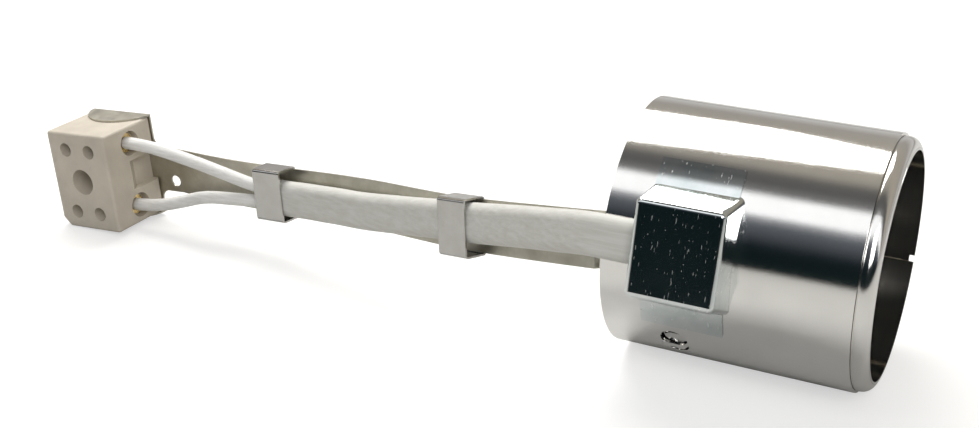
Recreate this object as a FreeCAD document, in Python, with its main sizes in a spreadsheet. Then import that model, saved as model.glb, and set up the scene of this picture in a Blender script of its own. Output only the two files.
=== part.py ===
"""Nozzle band heater with a terminal cover, a support strip and a ceramic terminal block.

The row frame has its origin at the centre of the nozzle bore. +X runs along the bore
to the mouth that faces away from the terminal block, +Z is up, and -Y is the front,
where the terminal cover sits. Clock angles are counted round the bore from the front:
0 is the front, 90 the top and 180 the back.
"""
import FreeCAD, Part
import math
import os

import Sketcher

Vector = FreeCAD.Vector
Rotation = FreeCAD.Rotation
Placement = FreeCAD.Placement

# Driving dimensions in millimetres and degrees: (alias, value, what it is).
SIZES = [
    ("bore_dia", 55.0, "nozzle that the heater grips"),
    ("casing_length", 60.0, "length of the heated bore"),
    ("sheath_sheet", 0.5, "sheet of the inner and outer sheath"),
    ("mica_sheet", 0.3, "insulating mica on each side of the element"),
    ("former_sheet", 0.25, "mica former that carries the ribbon"),
    ("ribbon_sheet", 0.12, "resistance ribbon"),
    ("layer_gap", 0.05, "clearance between layers of sheet"),
    ("element_margin", 3.0, "from the end of the casing to the mica"),
    ("rim_roll", 2.8, "outer radius of the rolled rim at the mouth"),
    ("tail_roll", 1.6, "outer radius of the rolled rim at the tail"),
    ("split_angle", 200.0, "clock angle of the split"),
    ("split_width", 3.4, "angle that the split takes out of every layer"),
    ("band_sheet", 0.7, "sheet of the outer band"),
    ("band_length", 58.6, "width of the outer band"),
    ("band_tail", 2.4, "outer band beyond the casing at the tail"),
    ("ribbon_runs", 44.0, "runs of the resistance ribbon across the casing"),
    ("ribbon_width", 1.7, "width of the resistance ribbon"),
    ("cover_angle", 15.3, "clock angle of the terminal cover's middle"),
    ("cover_left", -22.9, "left side of the terminal cover"),
    ("cover_right", -2.0, "right side of the terminal cover"),
    ("cover_height", 40.0, "front face of the cover from the bore axis"),
    ("cover_face", 22.6, "front face of the cover, round the band"),
    ("cover_foot", 27.2, "foot of the cover's walls, round the band"),
    ("cover_flare", 0.9, "how much further right the foot of the right wall stands"),
    ("cover_sheet", 0.6, "sheet of the terminal cover"),
    ("cover_edge", 1.5, "rounding of the cover's pressed edges"),
    ("upper_foot", 53.0, "clock angle where the cover's upper foot ends"),
    ("lower_foot", -23.0, "clock angle where the cover's lower foot ends"),
    ("window_length", 5.0, "window for the ribbon tabs, along the bore"),
    ("window_width", 10.0, "window for the ribbon tabs, round the band"),
    ("window_mid", -5.4, "middle of the window along the bore"),
    ("loop_mid", -15.2, "middle of the lanced loop along the bore"),
    ("loop_angle", -37.2, "clock angle of the lanced loop"),
    ("loop_radius", 3.3, "rounded ends of the hole under the lanced loop"),
    ("loop_spread", 1.5, "how far each rounded end lies from the middle"),
    ("loop_strip", 1.9, "width of the raised strip across the hole"),
    ("loop_rise", 0.9, "how far the strip stands above the band"),
    ("strip_width", 13.8, "width of the support strip"),
    ("strip_sheet", 0.5, "sheet of the support strip"),
    ("strip_angle", 12.0, "clock angle of the strip where the band holds it"),
    ("tongue_length", 12.0, "strip held under the outer band"),
    ("arm_sections", 27.0, "cross-sections that shape the bent strip"),
    ("tab_sheet", 0.3, "sheet of a ribbon tab"),
    ("tab_width", 1.5, "width of a ribbon tab"),
    ("crimp_length", 6.0, "length of a brass ferrule"),
    ("crimp_wall", 0.6, "wall of a brass ferrule"),
    ("crimp_space", 1.8, "from a ribbon tab to its ferrule"),
    ("sleeve_space", 0.8, "bare wire between a ferrule and the lead's sleeve"),
    ("lead_dia", 3.7, "white sleeve of each lead"),
    ("lead_wall", 0.85, "wall of a lead's sleeve"),
    ("wire_dia", 1.8, "stranded conductor"),
    ("lead_pitch", 4.4, "distance between the leads in the flat sleeve"),
    ("braid_height", 10.4, "height of the flat braided sleeve"),
    ("braid_depth", 5.1, "thickness of the flat braided sleeve"),
    ("braid_wall", 0.4, "wall of the flat braided sleeve"),
    ("braid_out", 1.5, "how far short of the clip's left edge the flat sleeve ends"),
    ("braid_inside", 5.5, "sleeve that lies inside the terminal cover"),
    ("clip_width", 10.0, "width of a wrapped clip"),
    ("clip_sheet", 0.5, "sheet of a clip"),
    ("clip_gap", 0.2, "clearance of a clip round what it holds"),
    ("block_clip_x", -141.2, "middle of the clip beside the block"),
    ("middle_clip_x", -73.8, "middle of the clip half way along"),
    ("block_x", -201.1, "middle of the terminal block"),
    ("block_y", -6.5, "middle of the terminal block"),
    ("block_tilt", 5.1, "lean of the block where it stands"),
    ("block_yaw", -2.4, "turn of the block seen from above"),
    ("block_width", 22.2, "terminal block along the wires"),
    ("block_depth", 20.0, "terminal block from front to back"),
    ("block_height", 30.0, "terminal block from bottom to top"),
    ("block_edge", 0.9, "rounding of the block's edges"),
    ("block_corner", 2.6, "chamfer of the lower left corner"),
    ("pole_pitch", 19.4, "distance between the two wires in the block"),
    ("screw_pitch", 8.98, "distance between the two screws of a wire"),
    ("wire_depth", 10.5, "wire bores behind the block's front face"),
    ("tube_dia", 5.8, "brass tube"),
    ("tube_length", 18.6, "brass tube"),
    ("supply_bore", 3.8, "bore of the brass tube for a supply wire"),
    ("heater_bore", 3.2, "bore of the brass tube for a heater lead"),
    ("bell_dia", 7.4, "bell mouth of a wire bore"),
    ("bell_depth", 2.6, "bell mouth of a wire bore"),
    ("access_dia", 4.2, "screwdriver hole over a terminal screw"),
    ("waist_depth", 2.4, "recess in the block's sides between the wires"),
    ("waist_height", 9.0, "recess in the block's sides between the wires"),
    ("waist_start", 9.0, "start of the recess behind the front face"),
    ("centre_hole", 7.8, "counterbore for the mounting screw"),
    ("centre_depth", 11.0, "counterbore for the mounting screw"),
    ("terminal_screw", 2.5, "terminal screw"),
    ("terminal_head", 3.7, "head of a terminal screw"),
    ("terminal_length", 4.6, "shank of a terminal screw"),
    ("screw_fit", 0.05, "radial clearance of a terminal screw in its brass tube"),
    ("mount_screw", 4.0, "mounting screw of the block"),
    ("mount_head", 6.4, "head of the mounting screw"),
    ("mount_rise", 2.2, "height of the mounting screw's head"),
    ("mount_hex", 7.0, "hexagon of the mounting nut"),
    ("mount_nut", 3.2, "mounting nut"),
    ("mount_fit", 0.2, "radial clearance of the mounting screw"),
    ("bracket_left", -11.0, "left edge of the bracket behind the block"),
    ("bracket_right", 11.3, "right edge of the bracket behind the block"),
    ("bracket_neck", 20.0, "where the bracket narrows to the strip"),
    ("neck_drop", -1.5, "strip's middle below the block's middle"),
    ("neck_radius", 3.0, "inside corner between bracket and strip"),
    ("tab_reach", 8.6, "how far the bracket's tabs reach over the block"),
    ("lower_tab_left", -2.0, "left end of the lower tab"),
    ("strip_hole", 3.4, "hole in the strip beside the bracket"),
    ("hole_place", 17.6, "the strip's hole from the block's middle"),
    ("ear_sheet", 1.2, "sheet of the clamping ears"),
    ("ear_width", 14.0, "clamping ears along the bore"),
    ("ear_height", 12.5, "clamping ears above the band"),
    ("ear_foot", 11.0, "foot of an ear along the band"),
    ("ear_space", 6.4, "space between the ears"),
    ("clamp_screw", 5.0, "clamping screw"),
    ("clamp_fit", 0.3, "radial clearance of the clamping screw in the ears"),
    ("clamp_rise", 7.6, "axis of the clamping screw above the band"),
    ("clamp_reach", 20.0, "clamping screw under its head"),
    ("hex_across", 8.0, "hexagon of the clamping screw and its nut"),
    ("hex_head", 3.5, "head of the clamping screw"),
    ("hex_nut", 4.0, "nut of the clamping screw"),
]
# The bent strip between the band and the block passes through these named stations:
# x, y and z of the strip's middle, and how far above it the flat sleeve's middle lies.
STATIONS = [
    ("rim", -33.1, -30.0, 6.5, 1.9),
    ("elbow", -54.0, -23.5, 1.6, 1.7),
    ("middle", -82.7, -13.5, -4.9, 0.8),
    ("run", -108.0, -7.0, -8.1, -1.3),
    ("clip", -144.4, -1.0, -12.7, -1.0),
]

document = FreeCAD.newDocument("band_heater")
sheet = document.addObject("Spreadsheet::Sheet", "Sizes")
EPS = 1e-7
PIECES = []


class Size:
    """A size of the sheet, or a sum of such sizes: its number and its formula."""

    def __init__(self, value, text):
        self.value = value
        self.text = text

    def _with(self, sign, other, value):
        other_text = other.text if isinstance(other, Size) else repr(other)
        return Size(value, "(%s %s %s)" % (self.text, sign, other_text))

    def __add__(self, other):
        return self._with("+", other, self.value + number(other))

    def __sub__(self, other):
        return self._with("-", other, self.value - number(other))

    def __mul__(self, other):
        return self._with("*", other, self.value * number(other))

    def __truediv__(self, other):
        return self._with("/", other, self.value / number(other))

    def __neg__(self):
        return Size(-self.value, "(0 - %s)" % self.text)


def number(size):
    """The plain number of a Size, or the number itself."""
    return size.value if isinstance(size, Size) else float(size)


def fill_sheet():
    """Writes the driving dimensions and returns them by name."""
    found = {}
    rows = [(alias, value) for alias, value, _ in SIZES]
    for name, x, y, z, lift in STATIONS:
        rows += [(name + "_x", x), (name + "_y", y), (name + "_z", z), (name + "_lift", lift)]
    for row, (alias, value) in enumerate(rows, start=1):
        sheet.set("A%d" % row, alias)
        sheet.set("B%d" % row, str(value))
        sheet.setAlias("B%d" % row, alias)
        found[alias] = Size(value, "Sizes." + alias)
    document.recompute()
    return found


class Named:
    """The sizes as attributes."""

    def __init__(self, sizes):
        self.__dict__.update(sizes)


D = Named(fill_sheet())

# ---------------------------------------------------------------- derived places
BORE = D.bore_dia / 2
INNER_SHEATH = BORE + D.sheath_sheet
INNER_MICA = INNER_SHEATH + D.layer_gap + D.mica_sheet
FORMER = INNER_MICA + D.layer_gap + D.former_sheet
RIBBON = FORMER + D.layer_gap + D.ribbon_sheet
OUTER_MICA = RIBBON + D.layer_gap + D.mica_sheet
OUTER_SHEATH = OUTER_MICA + D.layer_gap + D.sheath_sheet
STRIP_SEAT = OUTER_SHEATH + D.layer_gap
BAND_INSIDE = STRIP_SEAT + D.strip_sheet + D.layer_gap
BAND_OUTSIDE = BAND_INSIDE + D.band_sheet
TAIL = -(D.casing_length / 2)
MOUTH = D.casing_length / 2
BAND_TAIL = TAIL - D.band_tail
BAND_MOUTH = BAND_TAIL + D.band_length
FLOOR = -(BAND_OUTSIDE)
TURN = 360.0


def radial(clock, radius, x=0.0):
    """The point at a clock angle and a distance from the bore axis."""
    turn = math.radians(clock)
    return Vector(x, -radius * math.cos(turn), radius * math.sin(turn))


def bind(thing, name, size):
    """Sets a property, by its formula where the size has one."""
    setattr(thing, name, number(size))
    if isinstance(size, Size):
        thing.setExpression(name, size.text)


# ---------------------------------------------------------------- sketches
def new_body(label):
    body = document.addObject("PartDesign::Body", label)
    body.Label = label
    PIECES.append(body)
    return body


def new_sketch(body, name, role, turn=0.0, lift=0.0):
    """A sketch on one of the body's planes, turned about its own X and lifted off."""
    sketch = body.newObject("Sketcher::SketchObject", name)
    plane = [f for f in body.Origin.OriginFeatures if f.Role == role][0]
    sketch.AttachmentSupport = [(plane, "")]
    sketch.MapMode = "FlatFace"
    spin = Rotation(Vector(1, 0, 0), turn)
    sketch.AttachmentOffset = Placement(spin.multVec(Vector(0, 0, lift)), spin)
    return sketch


def pin_point(sketch, geometry, end, x, y):
    """Fixes a point of a sketch at two sizes from the sketch's origin."""
    for kind, size in (("DistanceX", x), ("DistanceY", y)):
        index = sketch.addConstraint(
            Sketcher.Constraint(kind, -1, 1, geometry, end, number(size)))
        if isinstance(size, Size):
            sketch.setExpression("Constraints[%d]" % index, size.text)


def draw_outline(sketch, points, arcs=None):
    """A closed outline. arcs maps a corner's number to the centre of the arc that
    runs from it to the next corner, with its sense: (x, y, anticlockwise)."""
    arcs = arcs or {}
    count = len(points)
    made = []
    for i, (x, y) in enumerate(points):
        start = Vector(number(x), number(y), 0)
        following = points[(i + 1) % count]
        end = Vector(number(following[0]), number(following[1]), 0)
        if i not in arcs:
            made.append((sketch.addGeometry(Part.LineSegment(start, end), False), 1, 2))
            continue
        cx, cy, left_turn = arcs[i]
        centre = Vector(number(cx), number(cy), 0)
        first, last = (start, end) if left_turn else (end, start)
        angles = [math.atan2(p.y - centre.y, p.x - centre.x) for p in (first, last)]
        if angles[1] <= angles[0]:
            angles[1] += 2 * math.pi
        circle = Part.Circle(centre, Vector(0, 0, 1), start.sub(centre).Length)
        arc = sketch.addGeometry(Part.ArcOfCircle(circle, angles[0], angles[1]), False)
        made.append((arc, 1, 2) if left_turn else (arc, 2, 1))
    for i, (geometry, _, tip) in enumerate(made):
        other, root, _ = made[(i + 1) % count]
        sketch.addConstraint(Sketcher.Constraint("Coincident", geometry, tip, other, root))
    for i, (x, y) in enumerate(points):
        pin_point(sketch, made[i][0], made[i][1], x, y)
    for i, (cx, cy, _) in arcs.items():
        here, following = points[i], points[(i + 1) % count]
        level = abs(number(here[1]) - number(following[1]))
        flat = level < abs(number(here[0]) - number(following[0]))
        kind, size = ("DistanceY", cy) if flat else ("DistanceX", cx)
        index = sketch.addConstraint(
            Sketcher.Constraint(kind, -1, 1, made[i][0], 3, number(size)))
        if isinstance(size, Size):
            sketch.setExpression("Constraints[%d]" % index, size.text)
    return sketch


def draw_rectangle(sketch, left, right, low, high):
    return draw_outline(sketch, [(left, low), (right, low), (right, high), (left, high)])


def draw_circle(sketch, x, y, radius):
    circle = Part.Circle(Vector(number(x), number(y), 0), Vector(0, 0, 1), number(radius))
    index = sketch.addGeometry(circle, False)
    pin_point(sketch, index, 3, x, y)
    size = sketch.addConstraint(Sketcher.Constraint("Radius", index, number(radius)))
    if isinstance(radius, Size):
        sketch.setExpression("Constraints[%d]" % size, radius.text)
    return sketch


# ---------------------------------------------------------------- features
def add_feature(body, kind, name, sketch):
    document.recompute()
    feature = body.newObject("PartDesign::" + kind, name)
    feature.Profile = sketch
    sketch.Visibility = False
    return feature


def pad(body, name, sketch, length, both=False, reverse=False):
    feature = add_feature(body, "Pad", name, sketch)
    bind(feature, "Length", length)
    feature.Midplane = both
    feature.Reversed = reverse
    document.recompute()
    return feature


def pocket(body, name, sketch, length, both=False, reverse=False):
    """Cuts away from the sketch's normal, or along it when reversed."""
    before = body.Shape.Volume
    feature = add_feature(body, "Pocket", name, sketch)
    bind(feature, "Length", length)
    feature.Midplane = both
    feature.Reversed = reverse
    document.recompute()
    if body.Shape.Volume > before - EPS:
        raise ValueError(body.Label + ": " + name + " cuts nothing")
    return feature


def revolve(body, name, sketch, angle=TURN, groove=False):
    before = body.Shape.Volume if groove else 0.0
    feature = add_feature(body, "Groove" if groove else "Revolution", name, sketch)
    feature.ReferenceAxis = (sketch, ["H_Axis"])
    bind(feature, "Angle", angle)
    document.recompute()
    if groove and body.Shape.Volume > before - EPS:
        raise ValueError(body.Label + ": " + name + " cuts nothing")
    return feature


def pick_edges(shape, wanted):
    """The names of the edges whose two ends and middle satisfy a test."""
    names = []
    for i, edge in enumerate(shape.Edges, start=1):
        if len(edge.Vertexes) == 2 and wanted(edge):
            names.append("Edge%d" % i)
    return names


def dress(body, kind, name, base, wanted, size, size_name):
    """A fillet or a chamfer on the edges that a test picks."""
    names = pick_edges(base.Shape, wanted)
    if not names:
        raise ValueError(body.Label + ": " + name + " finds no edge")
    feature = body.newObject("PartDesign::" + kind, name)
    feature.Base = (base, names)
    bind(feature, size_name, size)
    document.recompute()
    return feature


def code_piece(label, shape):
    """A piece whose shape is worked out from the sheet by this file."""
    piece = document.addObject("Part::Feature", label)
    piece.Label = label
    piece.Shape = shape
    piece.Placement = Placement()
    PIECES.append(piece)
    return piece


# ---------------------------------------------------------------- the heated ring
WHOLE = Size(TURN, "360")
SPLIT_START = number(D.split_angle) - number(D.split_width) / 2


def split_ring(label, points, arcs=None):
    """A layer of the ring: its section turned from one side of the split to the other."""
    body = new_body(label)
    sketch = new_sketch(body, label + "_section", "XZ_Plane", 90.0 - SPLIT_START)
    draw_outline(sketch, points, arcs)
    revolve(body, label + "_turn", sketch, WHOLE - D.split_width)
    return body


def plain_ring(label, left, right, low, high):
    return split_ring(label, [(left, low), (right, low), (right, high), (left, high)])


def cut_window(body, clock):
    """The window through which the ribbon tabs leave the ring."""
    sketch = new_sketch(body, body.Label + "_window", "XZ_Plane", -clock, number(BORE))
    half_long = D.window_length / 2
    half_wide = D.window_width / 2
    draw_rectangle(sketch, D.window_mid - half_long, D.window_mid + half_long,
                   -half_wide, half_wide)
    pocket(body, body.Label + "_window_cut", sketch, (BAND_OUTSIDE - BORE) * 2, reverse=True)


def build_outer_sheath():
    """The outer skin: a proud rolled rim at the mouth and a plain one at the tail."""
    seat = number(INNER_SHEATH + D.layer_gap)
    outside = number(OUTER_SHEATH)
    inside = outside - number(D.sheath_sheet)
    roll = number(D.rim_roll)
    tail = number(D.tail_roll)
    sheet_size = number(D.sheath_sheet)
    mouth_x = number(MOUTH) - roll
    mouth_r = number(BORE) + number(D.layer_gap) * 2
    tail_x = number(TAIL) + tail
    tail_r = outside - tail

    def on_arc(centre_x, centre_r, radius, level, side):
        return centre_x + side * math.sqrt(radius ** 2 - (level - centre_r) ** 2)

    inner_roll = roll - sheet_size
    inner_tail = tail - sheet_size
    points = [
        (on_arc(tail_x, tail_r, inner_tail, seat, -1), seat),
        (tail_x, inside),
        (on_arc(mouth_x, mouth_r, inner_roll, inside, -1), inside),
        (on_arc(mouth_x, mouth_r, inner_roll, seat, 1), seat),
        (on_arc(mouth_x, mouth_r, roll, seat, 1), seat),
        (on_arc(mouth_x, mouth_r, roll, outside, -1), outside),
        (tail_x, outside),
        (on_arc(tail_x, tail_r, tail, seat, -1), seat),
    ]
    arcs = {
        0: (tail_x, tail_r, False),
        2: (mouth_x, mouth_r, False),
        4: (mouth_x, mouth_r, True),
        6: (tail_x, tail_r, True),
    }
    body = split_ring("outer_sheath", points, arcs)
    cut_window(body, number(D.cover_angle))
    return body


def build_ribbon():
    """One thin ribbon that runs to and fro across the casing, all the way round."""
    runs = int(number(D.ribbon_runs))
    left = number(TAIL) + number(D.element_margin) + number(D.ribbon_width)
    right = number(MOUTH) - number(D.element_margin) - number(D.ribbon_width)
    low = number(FORMER) + number(D.layer_gap)
    high = number(RIBBON)
    margin = number(D.split_width)
    pitch = (TURN - 3 * margin) / runs
    half = math.degrees(number(D.ribbon_width) / 2 / high)

    def sector(x0, x1, clock, span):
        """A curved patch from one clock angle over a span."""
        corners = [radial(clock, r, x) for x, r in ((x0, low), (x1, low), (x1, high), (x0, high))]
        face = Part.Face(Part.makePolygon(corners + corners[:1]))
        return face.revolve(Vector(), Vector(1, 0, 0), -span)

    first = number(D.split_angle) + 1.5 * margin - TURN + pitch / 2
    pieces = []
    for i in range(runs):
        clock = first + i * pitch
        pieces.append(sector(left, right, clock - half, 2 * half))
        if i < runs - 1:
            end = right if i % 2 == 0 else left - number(D.ribbon_width)
            pieces.append(sector(end, end + number(D.ribbon_width), clock - half,
                                 pitch + 2 * half))
    return code_piece("heating_ribbon", pieces[0].multiFuse(pieces[1:]).removeSplitter())


def build_layers():
    mica_left = TAIL + D.element_margin
    mica_right = MOUTH - D.element_margin
    plain_ring("inner_sheath", TAIL, MOUTH, BORE, INNER_SHEATH)
    plain_ring("inner_mica", mica_left, mica_right, INNER_MICA - D.mica_sheet, INNER_MICA)
    plain_ring("mica_former", mica_left, mica_right, FORMER - D.former_sheet, FORMER)
    build_ribbon()
    outer = plain_ring("outer_mica", mica_left, mica_right,
                       OUTER_MICA - D.mica_sheet, OUTER_MICA)
    cut_window(outer, number(D.cover_angle))
    build_outer_sheath()


def build_band():
    """The polished outer band, with its window and the lanced loop near the tail."""
    body = plain_ring("outer_band", BAND_TAIL, BAND_MOUTH, BAND_INSIDE, BAND_OUTSIDE)
    cut_window(body, number(D.cover_angle))
    clock = number(D.loop_angle)
    hole = new_sketch(body, "loop_hole", "XZ_Plane", -clock, number(BORE))
    left, right = D.loop_mid - D.loop_radius, D.loop_mid + D.loop_radius
    draw_outline(hole, [(left, -D.loop_spread), (right, -D.loop_spread),
                        (right, D.loop_spread), (left, D.loop_spread)],
                 {0: (D.loop_mid, -D.loop_spread, True), 2: (D.loop_mid, D.loop_spread, True)})
    pocket(body, "loop_hole_cut", hole, BAND_OUTSIDE - BORE, reverse=True)
    side = new_sketch(body, "loop_side", "XZ_Plane", 90.0 - clock)
    reach = D.loop_radius + D.band_sheet
    slope = D.loop_rise + D.band_sheet
    top = BAND_OUTSIDE + D.loop_rise
    mid = D.loop_mid
    draw_outline(side, [
        (mid - reach, BAND_INSIDE), (mid - reach + D.band_sheet, BAND_INSIDE),
        (mid - reach + slope + D.band_sheet / 2, top - D.band_sheet),
        (mid + reach - slope - D.band_sheet / 2, top - D.band_sheet),
        (mid + reach - D.band_sheet, BAND_INSIDE), (mid + reach, BAND_INSIDE),
        (mid + reach - slope, top), (mid - reach + slope, top),
    ])
    pad(body, "loop_strip_pad", side, D.loop_strip, both=True)
    return body


# ---------------------------------------------------------------- the terminal cover
COVER_SEAT = BAND_OUTSIDE + D.layer_gap
LEAD_RISE = BAND_OUTSIDE + D.layer_gap * 3 + D.braid_depth / 2


def foot_clock(side):
    """The clock angle at which a sloping wall of the cover meets the band."""
    half = math.asin(number(D.cover_foot) / 2 / number(COVER_SEAT))
    return number(D.cover_angle) + side * math.degrees(half)


def build_cover():
    """A pressed box whose long walls end in two curved feet."""
    body = new_body("terminal_cover")
    turn = -number(D.cover_angle)
    base_level = number(BORE)
    full = number(D.cover_height) - base_level
    drop = number(COVER_SEAT) * math.cos(math.asin(
        number(D.cover_foot) / 2 / number(COVER_SEAT))) - base_level
    slope = (number(D.cover_foot) - number(D.cover_face)) / 2 / (full - drop)
    flare = number(D.cover_flare) / (full - drop)

    def level(name, inset, height):
        """The box's outline at a height above the base level, set in by its sheet."""
        sketch = new_sketch(body, name, "XZ_Plane", turn, base_level + height)
        half = number(D.cover_face) / 2 + slope * (full - height) - inset
        draw_rectangle(sketch, number(D.cover_left) + inset,
                       number(D.cover_right) + flare * (full - height) - inset, -half, half)
        return sketch

    wall = number(D.cover_sheet)
    outside = add_feature(body, "AdditiveLoft", "box", level("box_base", 0.0, 0.0))
    outside.Sections = [level("box_face", 0.0, full)]
    document.recompute()
    front = radial(number(D.cover_angle), 1.0)

    def pressed(edge):
        heights = [v.Point.dot(front) for v in edge.Vertexes]
        return max(heights) > base_level + full / 2

    rounded = dress(body, "Fillet", "pressed_edges", outside, pressed, D.cover_edge, "Radius")
    inner = add_feature(body, "SubtractiveLoft", "hollow", level("hollow_base", wall, 0.0))
    inner.Sections = [level("hollow_face", wall, full - wall)]
    document.recompute()
    seat = new_sketch(body, "seat", "XZ_Plane")
    draw_rectangle(seat, D.cover_left - D.cover_edge, D.cover_right + D.cover_edge * 2,
                   0.0, COVER_SEAT)
    revolve(body, "seat_cut", seat, TURN, groove=True)
    mouth = new_sketch(body, "sleeve_mouth", "XZ_Plane", turn, base_level)
    half_mouth = D.braid_height / 2 + D.clip_gap
    draw_rectangle(mouth, D.cover_left - D.cover_sheet, D.cover_left + D.cover_sheet * 2,
                   -half_mouth, half_mouth)
    pocket(body, "sleeve_mouth_cut", mouth,
           LEAD_RISE + D.braid_depth / 2 + D.clip_gap - BORE, reverse=True)
    inside = math.degrees(wall / number(COVER_SEAT))
    spans = (("upper_foot", number(D.upper_foot), foot_clock(1) - inside),
             ("lower_foot", foot_clock(-1) + inside, number(D.lower_foot)))
    for name, start, end in spans:
        foot = new_sketch(body, name, "XZ_Plane", 90.0 - start)
        draw_rectangle(foot, D.cover_left + D.cover_sheet, D.cover_right - D.cover_sheet,
                       COVER_SEAT, COVER_SEAT + D.cover_sheet)
        revolve(body, name + "_turn", foot, start - end)
    return body


def build_insulating_pad():
    """A curved mica pad under the joints inside the cover."""
    body = new_body("insulating_pad")
    start = foot_clock(1) - 4 * math.degrees(number(D.cover_sheet) / number(COVER_SEAT))
    end = foot_clock(-1) + 4 * math.degrees(number(D.cover_sheet) / number(COVER_SEAT))
    sketch = new_sketch(body, "pad_section", "XZ_Plane", 90.0 - start)
    left = D.cover_left + D.braid_inside + D.cover_sheet
    draw_rectangle(sketch, left, D.cover_right - D.cover_sheet * 1.5,
                   COVER_SEAT, COVER_SEAT + D.mica_sheet)
    revolve(body, "pad_turn", sketch, start - end)
    cut_window(body, number(D.cover_angle))
    return body


# ---------------------------------------------------------------- inside the cover
CRIMP_RIGHT = D.window_mid - D.crimp_space
CRIMP_LEFT = CRIMP_RIGHT - D.crimp_length
WIRE_END = number(CRIMP_LEFT + D.crimp_length / 2)
SLEEVE_END = number(CRIMP_LEFT - D.sleeve_space)


def build_tab(label, side):
    """The end of the ribbon: up through the window and along into its crimp."""
    body = new_body(label)
    sketch = new_sketch(body, label + "_side", "XZ_Plane", 90.0 - number(D.cover_angle),
                        -side * number(D.lead_pitch) / 2)
    top = LEAD_RISE + D.tab_sheet / 2
    left = D.window_mid - D.tab_sheet / 2
    right = D.window_mid + D.tab_sheet / 2
    end = CRIMP_LEFT + D.crimp_length / 2 + D.tab_sheet
    draw_outline(sketch, [(left, RIBBON), (right, RIBBON), (right, top), (end, top),
                          (end, top - D.tab_sheet), (left, top - D.tab_sheet)])
    pad(body, label + "_pad", sketch, D.tab_width, both=True)
    return body


def lead_side(side):
    """The offset of a lead from the middle of the flat sleeve, up or down its height."""
    return side * number(D.lead_pitch) / 2


def build_crimp(label, side):
    """A brass ferrule that joins a ribbon tab to its conductor."""
    middle = radial(number(D.cover_angle), number(LEAD_RISE), number(CRIMP_LEFT))
    up = radial(number(D.cover_angle) + 90.0, 1.0)
    place = Placement(middle + up * lead_side(side), Rotation(Vector(0, 1, 0), 90))
    inner_radius = D.wire_dia / 2 + D.layer_gap
    parts = []
    for name, radius in (("outside", inner_radius + D.crimp_wall), ("bore", inner_radius)):
        cylinder = document.addObject("Part::Cylinder", label + "_" + name)
        bind(cylinder, "Radius", radius)
        bind(cylinder, "Height", D.crimp_length)
        cylinder.Placement = place
        parts.append(cylinder)
    cut = document.addObject("Part::Cut", label)
    cut.Label = label
    cut.Base, cut.Tool = parts
    PIECES.append(cut)
    return cut


# ---------------------------------------------------------------- the bent arm
POLE = D.pole_pitch / 2
WIRE_Y = D.wire_depth - D.block_depth / 2
TILT = math.radians(number(D.block_tilt))
# The block stands on its lower edge or on the bracket's lower tab, whichever is lower.
LOW_CORNERS = [
    (number(D.block_height / 2), number(D.block_width / 2 - D.block_corner)),
    (number(D.block_height / 2 + D.layer_gap + D.strip_sheet), -number(D.lower_tab_left)),
]
BLOCK_LIFT = max(z * math.cos(TILT) + x * math.sin(TILT) for z, x in LOW_CORNERS)
BLOCK = Placement(
    Vector(number(D.block_x), number(D.block_y), number(FLOOR) + BLOCK_LIFT),
    Rotation(Vector(0, 0, 1), number(D.block_yaw))
    * Rotation(Vector(0, 1, 0), -number(D.block_tilt)))
PLATE_BACK = number(D.block_depth / 2 + D.layer_gap)
STRIP_HALF = number(D.strip_sheet) / 2


def block_point(x, y, z):
    """A point given from the block's middle: along the wires, backwards, upwards."""
    return BLOCK.multVec(Vector(x, y, z))


class Frame:
    """A cross-section's middle with its directions along, up and to the front."""

    def __init__(self, middle, along, lean):
        self.middle = middle
        self.along = Vector(along).normalize()
        tilt = math.radians(lean)
        up = Vector(0, math.sin(tilt), math.cos(tilt))
        self.up = (up - self.along * up.dot(self.along)).normalize()
        self.front = self.up.cross(self.along)

    def at(self, front, up):
        return self.middle + self.front * front + self.up * up

    def placement(self):
        """Local X back along the route, local Y backwards and local Z up."""
        axes = (self.along * -1, self.front * -1, self.up)
        matrix = FreeCAD.Matrix(
            axes[0].x, axes[1].x, axes[2].x, self.middle.x,
            axes[0].y, axes[1].y, axes[2].y, self.middle.y,
            axes[0].z, axes[1].z, axes[2].z, self.middle.z,
            0, 0, 0, 1)
        return Placement(matrix)


class Route:
    """A smooth line from the band to the block, followed by its X."""

    def __init__(self, points, clock):
        self.curve = Part.BSplineCurve()
        self.curve.interpolate(points)
        self.ends = (points[0].x, points[-1].x)
        self.clock = clock

    def lean(self, x):
        """The line leans as the band does at the rim and stands upright at the block."""
        rim = number(D.rim_x)
        share = (x - self.ends[1]) / (rim - self.ends[1])
        return self.clock * min(1.0, max(0.0, share))

    def frame(self, x):
        low, high = self.curve.FirstParameter, self.curve.LastParameter
        for _ in range(60):
            middle = (low + high) / 2
            if self.curve.value(middle).x > x:
                low = middle
            else:
                high = middle
        return Frame(self.curve.value(low), self.curve.tangent(low)[0], self.lean(x))


def station(name):
    return Vector(*(number(getattr(D, name + "_" + axis)) for axis in "xyz"))


NECK = block_point(number(D.bracket_neck), PLATE_BACK + STRIP_HALF, number(D.neck_drop))
ARM = Route([station(item[0]) for item in STATIONS] + [NECK], number(D.strip_angle))
NECK_FRAME = Frame(NECK, BLOCK.Rotation.multVec(Vector(-1, 0, 0)), 0.0)


def spread(start, end, count):
    return [start + (end - start) * i / (count - 1) for i in range(count)]


def stations_along(start, end):
    """Places for cross-sections, close together just past the rim and wider after it."""
    count = int(number(D.arm_sections))
    return [start + (end - start) * (i / (count - 1)) ** 1.5 for i in range(count)]


def strip_wire(frame):
    half = number(D.strip_width) / 2
    corners = [frame.at(f, u) for f, u in (
        (-STRIP_HALF, -half), (STRIP_HALF, -half), (STRIP_HALF, half), (-STRIP_HALF, half))]
    return Part.makePolygon(corners + corners[:1])


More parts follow.
